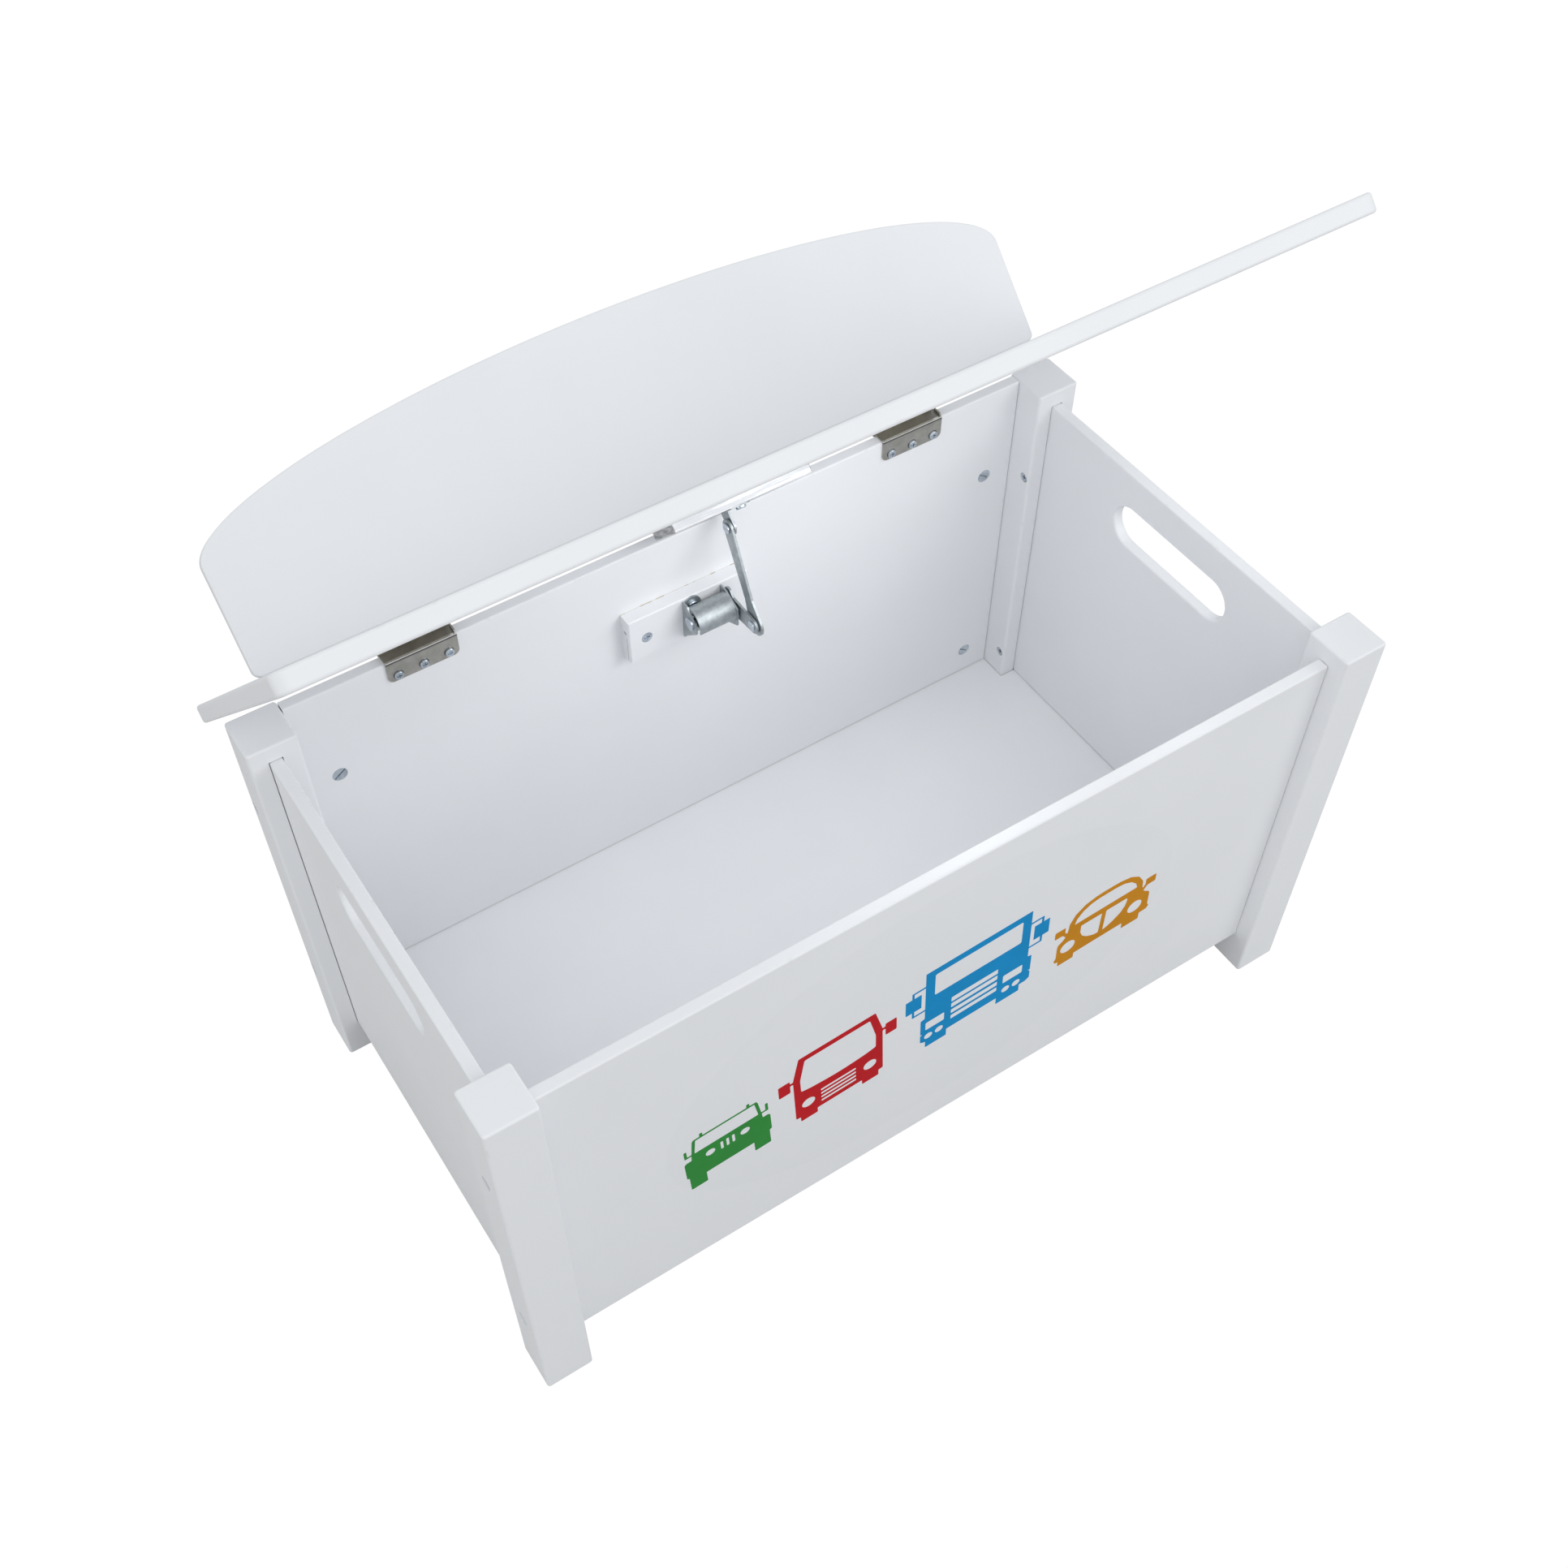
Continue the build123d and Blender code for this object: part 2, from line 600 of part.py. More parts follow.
def stay_block():
    body = Box(BLOCK_LENGTH, BLOCK, BLOCK_HEIGHT)
    body = chamfer(body.faces().sort_by(Axis.Y)[0].edges(), 0.8)
    x = BLOCK_LEFT + BLOCK_LENGTH / 2
    body = Pos(x, BACK_INNER - BLOCK / 2, BLOCK_TOP - BLOCK_HEIGHT / 2) * body
    for x, z in BLOCK_SCREWS:
        hole = sunk_hole(BLOCK_SCREW_HEAD, BLOCK_SCREW, BLOCK + 1)
        body -= Pos(x, BLOCK_FACE, z) * Rot(90, 0, 0) * hole
    for x, z in PLATE_SCREWS:
        deep = BLOCK_FACE + PLATE_SCREW_LENGTH - SHEET + 0.3
        body -= rod_y(x, BLOCK_FACE - 1, deep, z, PLATE_SCREW + 2 * FIT)
    pilot = rod_x(BLOCK_LEFT - 1, BLOCK_LEFT + 5, BLOCK_FACE + BLOCK / 2, BLOCK_TOP - 12, 3)
    return body - pilot


def stay_block_screws():
    screw = sunk_screw(BLOCK_SCREW_HEAD, BLOCK_SCREW, BLOCK_SCREW_LENGTH)
    return group(Pos(x, BLOCK_FACE, z) * Rot(90, 0, 0) * screw for x, z in BLOCK_SCREWS)


def ear_outline(grow):
    """Corners of an ear round the pivot, reaching back to the block."""
    y, z = PIVOT_Y, PIVOT_Z
    return (
        (BLOCK_FACE, z - 20), (BLOCK_FACE, z + 11), (y + 4, z + 11),
        (y - 6.5 - grow, z + 1 + grow), (y - 6.5 - grow, z - 5 - grow),
    )


def stay_bracket():
    """Back plate on the block with a rounded screw tab and an ear at each end."""
    back = BLOCK_FACE - SHEET
    low = PIVOT_Z - 20
    body = block(EAR_LEFT, EAR_RIGHT, back, BLOCK_FACE, low, PIVOT_Z - 3)
    tab_x, tab_z = PLATE_SCREWS[0]
    body += rod_y(tab_x, back, BLOCK_FACE, tab_z, 13)
    body += block(tab_x - 6.5, tab_x + 6.5, back, BLOCK_FACE, low + 4, tab_z)
    body += plate_x(ear_outline(0), EAR_LEFT, SHEET)
    body += plate_x(ear_outline(4), EAR_RIGHT - SHEET, SHEET)
    body -= rod_x(EAR_LEFT - 1, EAR_RIGHT + 1, PIVOT_Y, PIVOT_Z, AXLE + 0.04)
    for x, z in PLATE_SCREWS:
        body -= rod_y(x, back - 1, BLOCK_FACE + 1, z, PLATE_SCREW + 2 * FIT)
    return body


def stay_bracket_screws():
    screw = pan_screw(PLATE_SCREW_HEAD, 2.0, PLATE_SCREW, PLATE_SCREW_LENGTH)
    y = BLOCK_FACE - SHEET
    return group(Pos(x, y, z) * Rot(90, 0, 0) * screw for x, z in PLATE_SCREWS)


def stay_cover():
    """Curved sheet over the top and front of the spring."""
    x0 = EAR_LEFT + SHEET + 0.1
    x1 = EAR_RIGHT - SHEET - 0.1
    shell = rod_x(x0, x1, PIVOT_Y, PIVOT_Z, 2 * COVER_RADIUS)
    inside = 2 * (COVER_RADIUS - COVER_SHEET)
    shell -= rod_x(x0 - 1, x1 + 1, PIVOT_Y, PIVOT_Z, inside)
    front = PIVOT_Y - 2 * COVER_RADIUS
    top = PIVOT_Z + 2 * COVER_RADIUS
    return shell & block(
        x0 - 1, x1 + 1, front, PIVOT_Y + COVER_BACK, PIVOT_Z - COVER_LOW, top,
    )


def stay_spring():
    """Coil spring on the axle."""
    room = EAR_RIGHT - EAR_LEFT - 2 * SHEET - SPRING_WIRE - 1.0
    coil = Helix(room / SPRING_TURNS, room, SPRING_RADIUS)
    start = Plane(origin=coil @ 0, z_dir=coil % 0)
    wire = sweep(start * Circle(SPRING_WIRE / 2), path=coil)
    x = EAR_LEFT + SHEET + SPRING_WIRE / 2 + 0.5
    return Pos(x, PIVOT_Y, PIVOT_Z) * Rot(0, 90, 0) * wire


def stay_axle():
    """Rivet through both ears that carries the spring and the lever."""
    body = rod_x(EAR_LEFT - 0.5, LEVER_X + PLATE + 0.5, PIVOT_Y, PIVOT_Z, AXLE)
    body += rod_x(EAR_LEFT - 1.4, EAR_LEFT, PIVOT_Y, PIVOT_Z, 9)
    body += rod_x(EAR_RIGHT + 0.15, LEVER_X - 0.15, PIVOT_Y, PIVOT_Z, 8)
    body += rod_x(LEVER_X + PLATE + 0.3, LEVER_X + PLATE + 1.4, PIVOT_Y, PIVOT_Z, 7.5)
    return body


def stay_lever():
    """Short lever on the axle with a lobe that meets the block when the lid is fully open."""
    body = bar_x(PIVOT_Y, PIVOT_Z, 7.0, FOOT_Y, FOOT_Z, 5.5, LEVER_X, PLATE)
    lobe_y = PIVOT_Y + LOBE_REACH * cos(radians(LOBE_TILT))
    lobe_z = PIVOT_Z + LOBE_REACH * sin(radians(LOBE_TILT))
    body += bar_x(PIVOT_Y, PIVOT_Z, 5.5, lobe_y, lobe_z, LOBE_RADIUS, LEVER_X, PLATE)
    body -= rod_x(LEVER_X - 1, LEVER_X + PLATE + 1, PIVOT_Y, PIVOT_Z, AXLE + 2 * FIT)
    return body - rod_x(LEVER_X - 1, LEVER_X + PLATE + 1, FOOT_Y, FOOT_Z, RIVET + 0.04)


def stay_arm():
    """Long arm from the lever up to the lid bracket, widened at its foot."""
    waist_y = FOOT_Y + (TOP_Y - FOOT_Y) * 0.25
    waist_z = FOOT_Z + (TOP_Z - FOOT_Z) * 0.25
    body = bar_x(FOOT_Y, FOOT_Z, ARM_FOOT, waist_y, waist_z, ARM_WAIST, ARM_X, PLATE)
    body += bar_x(waist_y, waist_z, ARM_WAIST, TOP_Y, TOP_Z, ARM_HEAD, ARM_X, PLATE)
    body -= rod_x(ARM_X - 1, ARM_X + PLATE + 1, FOOT_Y, FOOT_Z, RIVET + 2 * FIT)
    bore = RIVET + 2 * TOP_PIVOT_PLAY
    return body - rod_x(ARM_X - 1, ARM_X + PLATE + 1, TOP_Y, TOP_Z, bore)


def lever_rivet():
    """Rivet fixed in the lever, on which the foot of the arm turns."""
    body = rod_x(LEVER_X - 0.5, ARM_X + PLATE + 0.5, FOOT_Y, FOOT_Z, RIVET)
    body += rod_x(LEVER_X - 0.9, LEVER_X, FOOT_Y, FOOT_Z, 7)
    body += rod_x(LEVER_X + PLATE + 0.1, ARM_X - 0.2, FOOT_Y, FOOT_Z, 7.5)
    body += rod_x(ARM_X + PLATE + 0.2, ARM_X + PLATE + 1.2, FOOT_Y, FOOT_Z, 7)
    return body


def lid_bracket():
    """Small angle under the batten; its lug hangs beside the top of the arm."""
    under = LID_RISE - BATTEN
    seat = under - SHEET
    s0 = TOP_PIVOT_S - 5.5
    body = block(LUG_X, LUG_X + 10, -s0 - 17, -s0 - 1.5, seat, under)
    tongue = Pos(LID_PLATE_SCREW_X, -LID_PLATE_SCREW_S, under - SHEET / 2) * Cylinder(6.5, SHEET)
    body += tongue
    lug = Pos(-TOP_PIVOT_S, (TOP_PIVOT_H + under) / 2) * Rectangle(11, under - TOP_PIVOT_H)
    lug += Pos(-TOP_PIVOT_S, TOP_PIVOT_H) * Circle(5.5)
    body += Pos(LUG_X, 0, 0) * extrude(Plane.YZ * lug, SHEET)
    body -= rod_x(LUG_X - 1, LUG_X + 2 * SHEET, -TOP_PIVOT_S, TOP_PIVOT_H, RIVET + 0.04)
    hole = Cylinder(PLATE_SCREW / 2 + FIT, 6 * SHEET)
    body -= Pos(LID_PLATE_SCREW_X, -LID_PLATE_SCREW_S, under) * hole
    return on_lid(body)


def lid_bracket_rivet():
    """Rivet fixed in the lug; the top of the arm turns on it."""
    y, z = -TOP_PIVOT_S, TOP_PIVOT_H
    body = rod_x(ARM_X - 0.8, LUG_X + SHEET + 0.5, y, z, RIVET)
    body += rod_x(ARM_X - 1.3, ARM_X - 0.3, y, z, 7)
    body += rod_x(LUG_X + SHEET, LUG_X + SHEET + 1.1, y, z, 7.5)
    return on_lid(body)


def lid_bracket_screw():
    screw = pan_screw(PLATE_SCREW_HEAD, 2.0, PLATE_SCREW, PLATE_SCREW_LENGTH)
    seat = LID_RISE - BATTEN - SHEET
    return on_lid(up_from(LID_PLATE_SCREW_X, LID_PLATE_SCREW_S, seat, screw))


def pieces():
    return {
        "post_front_left": post(-1, -1),
        "post_front_right": post(1, -1),
        "post_rear_left": post(-1, 1),
        "post_rear_right": post(1, 1),
        "front_panel": front_panel(),
        "back_panel": back_panel(),
        "side_panel_left": side_panel(-1),
        "side_panel_right": side_panel(1),
        "base_panel": base_panel(),
        "frame_bolts": frame_bolts(),
        "barrel_nuts": barrel_nuts(),
        "side_lock_screws": side_lock_screws(),
        "lid_panel": lid_panel(),
        "backrest_panel": backrest_panel(),
        "backrest_screws": backrest_screws(),
        "lid_batten": lid_batten(),
        "batten_screws": batten_screws(),
        "hinge_left_box_leaf": box_leaf(-1),
        "hinge_right_box_leaf": box_leaf(1),
        "hinge_left_lid_leaf": lid_leaf(-1),
        "hinge_right_lid_leaf": lid_leaf(1),
        "hinge_left_pin": hinge_pin(-1),
        "hinge_right_pin": hinge_pin(1),
        "box_leaf_screws": box_leaf_screws(),
        "lid_leaf_screws": lid_leaf_screws(),
        "stay_block": stay_block(),
        "stay_block_screws": stay_block_screws(),
        "stay_bracket": stay_bracket(),
        "stay_bracket_screws": stay_bracket_screws(),
        "stay_cover": stay_cover(),
        "stay_spring": stay_spring(),
        "stay_axle": stay_axle(),
        "stay_lever": stay_lever(),
        "stay_arm": stay_arm(),
        "lever_rivet": lever_rivet(),
        "lid_bracket": lid_bracket(),
        "lid_bracket_rivet": lid_bracket_rivet(),
        "lid_bracket_screw": lid_bracket_screw(),
    }


os.makedirs("parts", exist_ok=True)
for name, shape in pieces().items():
    export_step(shape, f"parts/{name}.step")
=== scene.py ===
import math

import bmesh
import bpy
from mathutils import Euler, Matrix, Vector


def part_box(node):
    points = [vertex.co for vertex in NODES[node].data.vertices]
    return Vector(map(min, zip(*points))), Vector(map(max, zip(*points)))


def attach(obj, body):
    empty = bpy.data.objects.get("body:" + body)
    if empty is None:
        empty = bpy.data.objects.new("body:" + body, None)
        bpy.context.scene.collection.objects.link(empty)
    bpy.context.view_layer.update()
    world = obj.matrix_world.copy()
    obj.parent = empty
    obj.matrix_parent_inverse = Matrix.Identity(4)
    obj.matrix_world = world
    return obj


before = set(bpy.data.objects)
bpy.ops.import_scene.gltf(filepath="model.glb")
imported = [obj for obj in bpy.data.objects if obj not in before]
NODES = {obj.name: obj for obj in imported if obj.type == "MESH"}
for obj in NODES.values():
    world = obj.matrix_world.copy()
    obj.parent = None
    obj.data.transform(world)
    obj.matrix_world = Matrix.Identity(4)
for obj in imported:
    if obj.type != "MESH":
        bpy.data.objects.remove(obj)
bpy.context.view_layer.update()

# Toy box with a seat lid, a backrest on the lid and a sprung lid stay.
# Metres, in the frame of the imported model; MM turns the workshop's millimetres into metres.

MM = 0.001

pin_low, pin_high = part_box("hinge_left_pin")
HINGE = (pin_low + pin_high) / 2
HINGE.x = 0
# Angle of the open lid above level
OPEN = math.radians(45.56)

scene = bpy.context.scene
scene.view_settings.view_transform = "Standard"


# Finishes

class Wire:
    """A socket of a finish. Sums on wires add Math nodes to it."""

    def __init__(self, finish, socket):
        self.finish = finish
        self.socket = socket

    def __add__(self, other):
        return self.finish.math("ADD", self, other)

    def __sub__(self, other):
        return self.finish.math("SUBTRACT", self, other)

    def __mul__(self, other):
        return self.finish.math("MULTIPLY", self, other)

    def __truediv__(self, other):
        return self.finish.math("DIVIDE", self, other)

    def __rsub__(self, other):
        return self.finish.math("SUBTRACT", other, self)

    def __pow__(self, other):
        return self.finish.math("POWER", self, other)

    def __abs__(self):
        return self.finish.math("ABSOLUTE", self)

    __radd__ = __add__
    __rmul__ = __mul__


class Finish:
    """A node material ending in one surface shader."""

    def __init__(self, name):
        self.material = bpy.data.materials.new(name)
        self.material.use_nodes = True
        self.tree = self.material.node_tree
        self.tree.nodes.clear()

    def add(self, kind, settings=None, inputs=None, output=0):
        node = self.tree.nodes.new("ShaderNode" + kind)
        for key, value in (settings or {}).items():
            setattr(node, key, value)
        for key, value in (inputs or {}).items():
            if isinstance(value, Wire):
                self.tree.links.new(value.socket, node.inputs[key])
            else:
                node.inputs[key].default_value = value
        return Wire(self, node.outputs[output])

    def math(self, operation, *terms):
        return self.add("Math", {"operation": operation}, dict(enumerate(terms)))

    def lower(self, a, b):
        return self.math("MINIMUM", a, b)

    def higher(self, a, b):
        return self.math("MAXIMUM", a, b)

    def step(self, value, start, end):
        """0 below start, 1 above end, smooth between."""
        return self.add(
            "MapRange", {"interpolation_type": "SMOOTHSTEP"},
            {0: value, 1: start, 2: end},
        )

    def place(self):
        """Object coordinates, in metres."""
        return self.add("TexCoord", output=3)

    def turned(self, place, move=(0, 0, 0), turn=(0, 0, 0), scale=(1, 1, 1)):
        return self.add(
            "Mapping", {"vector_type": "POINT"},
            {0: place, 1: move, 2: turn, 3: scale},
        )

    def parts(self, place):
        return [self.add("SeparateXYZ", inputs={0: place}, output=i) for i in range(3)]

    def noise(self, place, size, detail=2.0, rough=0.5):
        """Cloudy pattern 0 to 1 whose patches are about size metres across."""
        return self.add(
            "TexNoise", None,
            {"Vector": place, "Scale": 1 / size, "Detail": detail, "Roughness": rough},
        )

    def blend(self, amount, first, second):
        """Colour first where amount is 0, second where it is 1."""
        mix = {"data_type": "RGBA"}
        return self.add("Mix", mix, {0: amount, 6: first, 7: second}, output=2)

    def multiplied(self, first, second):
        mix = {"data_type": "RGBA", "blend_type": "MULTIPLY"}
        return self.add("Mix", mix, {0: 1.0, 6: first, 7: second}, output=2)

    def bump(self, height, depth):
        """Normal of a surface whose height 0 to 1 is worth depth metres."""
        inputs = {"Height": height, "Distance": depth, "Strength": 1.0}
        return self.add("Bump", None, inputs)

    def surface(self, **sockets):
        named = {key.replace("_", " "): value for key, value in sockets.items()}
        shader = self.add("BsdfPrincipled", None, named)
        self.add_output(shader)
        return self.material

    def add_output(self, shader):
        out = self.tree.nodes.new("ShaderNodeOutputMaterial")
        self.tree.links.new(shader.socket, out.inputs["Surface"])


PAINT = (0.918, 0.926, 0.945, 1)
PAINT_SHADE = (0.902, 0.911, 0.930, 1)
PAINT_WORN = (0.76, 0.75, 0.72, 1)
PAINT_WEAR = 0.35


def board_distances(finish, place, low, high):
    """Distances of a point from the sides of a board, one for each axis."""
    gaps = []
    for axis, along in enumerate(finish.parts(place)):
        gaps.append(finish.lower(along - low[axis], high[axis] - along))
    return gaps


def paint_layers(finish, place, low, high, wear=PAINT_WEAR):
    """Colour, roughness and normal of satin paint rolled on a board."""
    x, y, z = board_distances(finish, place, low, high)
    least = finish.lower(x, finish.lower(y, z))
    most = finish.higher(x, finish.higher(y, z))
    edge = 1 - finish.step(x + y + z - least - most, 0.0004, 0.0024)
    cloud = finish.noise(place, 0.11, 3.0)
    patch = finish.noise(place, 0.012, 4.0, 0.6)
    stipple = finish.noise(place, 0.0016, 2.0)
    worn = edge * finish.step(patch, 0.60, 0.72) * wear
    colour = finish.blend(finish.step(cloud, 0.35, 0.65), PAINT, PAINT_SHADE)
    colour = finish.blend(worn, colour, PAINT_WORN)
    rough = 0.40 + 0.07 * cloud + 0.06 * patch + 0.10 * edge
    normal = finish.bump(stipple * 0.35 + cloud * 6 + patch * 0.8, 0.00006)
    return colour, rough, normal


def satin(finish, colour, rough, normal):
    """Ends a finish as satin paint, with a thin and slightly rough coat."""
    return finish.surface(
        Base_Color=colour, Roughness=rough, Normal=normal,
        Coat_Weight=0.05, Coat_Roughness=0.25,
    )


def lid_place(finish):
    """Object coordinates turned until the lid is level, hinge axis at the origin."""
    moved = finish.turned(finish.place(), move=-HINGE)
    return finish.turned(moved, turn=(OPEN, 0, 0))


def level_bounds(node):
    """Lowest and highest corner of a lid piece, in the coordinates of the level lid."""
    turn = Matrix.Rotation(OPEN, 4, "X")
    points = [turn @ (v.co - HINGE) for v in NODES[node].data.vertices]
    low = [min(p[i] for p in points) for i in range(3)]
    high = [max(p[i] for p in points) for i in range(3)]
    return low, high


def painted_board(node, on_lid=False):
    finish = Finish("white_paint_" + node)
    place = lid_place(finish) if on_lid else finish.place()
    low, high = level_bounds(node) if on_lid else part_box(node)
    colour, rough, normal = paint_layers(finish, place, low, high)
    return satin(finish, colour, rough, normal)


def dress(node, material):
    for slot in NODES[node].material_slots:
        slot.material = material


OVAL_X = -0.012
OVAL_Z = 0.176
OVAL_HALF_WIDTH = 0.186
OVAL_HALF_HEIGHT = 0.116
OVAL_TILT = math.radians(3.7)
OVAL_TINT = (0.985, 0.986, 0.988, 1)


def front_board():
    """The front board, with the faint oval that the vehicles are printed on."""
    finish = Finish("white_paint_front_panel")
    place = finish.place()
    low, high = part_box("front_panel")
    colour, rough, normal = paint_layers(finish, place, low, high)
    centred = finish.turned(place, move=(-OVAL_X, 0, -OVAL_Z))
    x, y, z = finish.parts(finish.turned(centred, turn=(0, OVAL_TILT, 0)))
    reach = (x / OVAL_HALF_WIDTH) ** 2 + (z / OVAL_HALF_HEIGHT) ** 2
    oval = 1 - finish.step(reach, 0.985, 1.015)
    outside = 1 - finish.step(y, low.y + 0.0005, low.y + 0.001)
    tint = finish.blend(oval * outside, (1, 1, 1, 1), OVAL_TINT)
    colour = finish.multiplied(colour, tint)
    return satin(finish, colour, rough, normal)


STAIN = (0.97, 0.97, 0.97, 1)
STAIN_STREAK = (0.70, 0.71, 0.73, 1)
END_GRAIN = (0.62, 0.62, 0.63, 1)
END_GRAIN_DARK = (0.33, 0.33, 0.34, 1)


def batten_board():
    """Thin white stain on a softwood batten: streaks along it, darker grain on its ends."""
    finish = Finish("stained_batten")
    place = lid_place(finish)
    low, high = level_bounds("lid_batten")
    from_end = board_distances(finish, place, low, high)[0]
    streak = finish.noise(finish.turned(place, scale=(0.03, 1, 1)), 0.0016, 4.0, 0.65)
    figure = finish.noise(finish.turned(place, scale=(0.08, 1, 1)), 0.006, 3.0)
    rings = finish.turned(place, turn=(math.radians(35), 0, 0), scale=(1, 0.12, 1))
    ring = finish.noise(rings, 0.0012, 3.0, 0.6)
    streaks = finish.step(streak * 0.7 + figure * 0.3, 0.46, 0.58)
    side = finish.blend(streaks, STAIN_STREAK, STAIN)
    cut = finish.blend(finish.step(ring, 0.40, 0.62), END_GRAIN_DARK, END_GRAIN)
    end = 1 - finish.step(from_end, 0.0003, 0.0007)
    colour = finish.blend(end, side, cut)
    height = streak * 0.5 + ring * end
    return finish.surface(
        Base_Color=colour, Roughness=0.52 + 0.12 * streak + 0.1 * end,
        Normal=finish.bump(height, 0.00008),
    )


BLOCK_WEAR = 0.5
GLUE = (0.50, 0.44, 0.30, 1)
SPLIT_SHADE = (0.16, 0.14, 0.12, 1)
SPLIT_FROM_FRONT = 0.0035
SPLIT_DROP = 0.016
# Bare wood inside the hole, darkened with painted shade
HOLE_SHADE = (0.20, 0.14, 0.08, 1)
HOLE_DROP = 0.012
HOLE_RADIUS = 0.0016
HOLE_DEPTH = 0.005


def block_board():
    """The block that carries the stay: glue line behind it, split end, and bare wood inside its
    hole darkened with painted shade.
    """
    finish = Finish("white_paint_stay_block")
    place = finish.place()
    low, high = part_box("stay_block")
    colour, rough, normal = paint_layers(finish, place, low, high, BLOCK_WEAR)
    x, y, z = finish.parts(place)
    wander = finish.noise(place, 0.004, 3.0) * 0.0008
    glue = finish.step(z + wander, high.z - 0.0008, high.z - 0.0002)
    glue = glue * finish.step(y + wander, high.y - 0.0006, high.y - 0.0001)
    patch_of_glue = 0.25 + 0.6 * finish.step(finish.noise(place, 0.008, 2.0), 0.50, 0.60)
    colour = finish.blend(glue * patch_of_glue, colour, GLUE)
    end = 1 - finish.step(x, low.x + 0.0002, low.x + 0.0005)
    split_y = low.y + SPLIT_FROM_FRONT
    split_top = high.z - SPLIT_DROP
    split = 1 - finish.step(abs(y + wander - split_y), 0.00010, 0.00025)
    split = split * end * (1 - finish.step(z, split_top, split_top + 0.001))
    colour = finish.blend(split, colour, SPLIT_SHADE)
    # Bare wood darkened with painted shade on the walls of the hole at the end
    hole_y = (low.y + high.y) / 2
    hole_end = low.x + HOLE_DEPTH
    hole = 1 - finish.step(abs(z - (high.z - HOLE_DROP)), HOLE_RADIUS - 0.0002, HOLE_RADIUS)
    hole = hole * finish.step(x, low.x + 0.001, low.x + 0.002)
    hole = hole * (1 - finish.step(x, hole_end - 0.0002, hole_end + 0.0002))
    hole = hole * (1 - finish.step(abs(y - hole_y), HOLE_RADIUS - 0.00008, HOLE_RADIUS))
    colour = finish.blend(hole, colour, HOLE_SHADE)
    return satin(finish, colour, rough, normal)


for node in (
    "post_front_left", "post_front_right", "post_rear_left", "post_rear_right",
    "back_panel", "side_panel_left", "side_panel_right", "base_panel",
):
    dress(node, painted_board(node))
for node in ("lid_panel", "backrest_panel"):
    dress(node, painted_board(node, on_lid=True))
dress("front_panel", front_board())
dress("lid_batten", batten_board())
dress("stay_block", block_board())


# The vehicles printed on the front board. Outlines are millimetres across and up from
# the middle of each vehicle.

FILM = 0.00012
FILM_SUNK = 0.1 * FILM
CORNER_STEPS = 4
SAME_POINT = 0.00002
LAMP_STEPS = 32


def mirrored(half):
    """A whole outline from its right half, listed from the top down."""
    return half + [(-u, w) for u, w in reversed(half)]


def shifted(points, by):
    return [(u + by, w) for u, w in points]


def rectangle(u0, u1, w0, w1):
    return [(u0, w1), (u1, w1), (u1, w0), (u0, w0)]


def add_loop(bm, corners, rounding):
    """A closed line of edges through the corners, each rounded off."""
    face = bm.faces.new([bm.verts.new((u * MM, 0, w * MM)) for u, w in corners])
    bmesh.ops.bevel(
        bm, geom=list(face.verts), offset=rounding * MM, offset_type="OFFSET",
        affect="VERTICES", segments=CORNER_STEPS, profile=0.5, clamp_overlap=True, material=-1,
    )
    bmesh.ops.delete(bm, geom=list(bm.faces), context="FACES_ONLY")
    bmesh.ops.remove_doubles(bm, verts=list(bm.verts), dist=SAME_POINT)


def add_lamp(bm, u, w, radius):
    """A round hole in the print."""
    place = Matrix.Translation((u * MM, 0, w * MM)) @ Matrix.Rotation(math.pi / 2, 4, "X")
    bmesh.ops.create_circle(bm, segments=LAMP_STEPS, radius=radius * MM, matrix=place)


def print_finish(name, ink):
    """Matt printed film: even ink with a faint mottle and a slightly uneven gloss."""
    finish = Finish(name)
    place = finish.place()
    mottle = finish.noise(place, 0.02, 3.0)
    speck = finish.noise(place, 0.0009, 2.0)
    deep = tuple(0.93 * part for part in ink) + (1,)
    colour = finish.blend(finish.step(mottle * 0.7 + speck * 0.3, 0.35, 0.65), deep, ink + (1,))
    return finish.surface(
        Base_Color=colour, Roughness=0.55 + 0.10 * speck, Specular_IOR_Level=0.12,
        Normal=finish.bump(speck * 0.3 + mottle, 0.00002),
    )


def print_vehicle(name, middle, tilt, ink, outline, windows, lamps):
    """A vehicle cut from one film and laid on the outer face of the front board.

    The outline and each window are corners and the size of their rounding; lamps are round.
    """
    bm = bmesh.new()
    for corners, rounding in [outline] + windows:
        add_loop(bm, corners, rounding)
    for u, w, radius in lamps:
        add_lamp(bm, u, w, radius)
    bmesh.ops.triangle_fill(
        bm, use_beauty=True, use_dissolve=False, edges=list(bm.edges), normal=(0, -1, 0)
    )
    skin = bmesh.ops.extrude_face_region(bm, geom=list(bm.faces))
    raised = [item for item in skin["geom"] if isinstance(item, bmesh.types.BMVert)]
    bmesh.ops.translate(bm, verts=raised, vec=(0, -FILM, 0))
    bmesh.ops.recalc_face_normals(bm, faces=list(bm.faces))
    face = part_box("front_panel")[0].y
    place = Matrix.Translation((middle[0] * MM, face + FILM_SUNK, middle[1] * MM))
    bm.transform(place @ Matrix.Rotation(math.radians(-tilt), 4, "Y"))
    mesh = bpy.data.meshes.new(name)
    bm.to_mesh(mesh)
    bm.free()
    mesh.materials.append(print_finish(name + "_ink", ink))
    film = bpy.data.objects.new(name, mesh)
    scene.collection.objects.link(film)
    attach(film, "box")


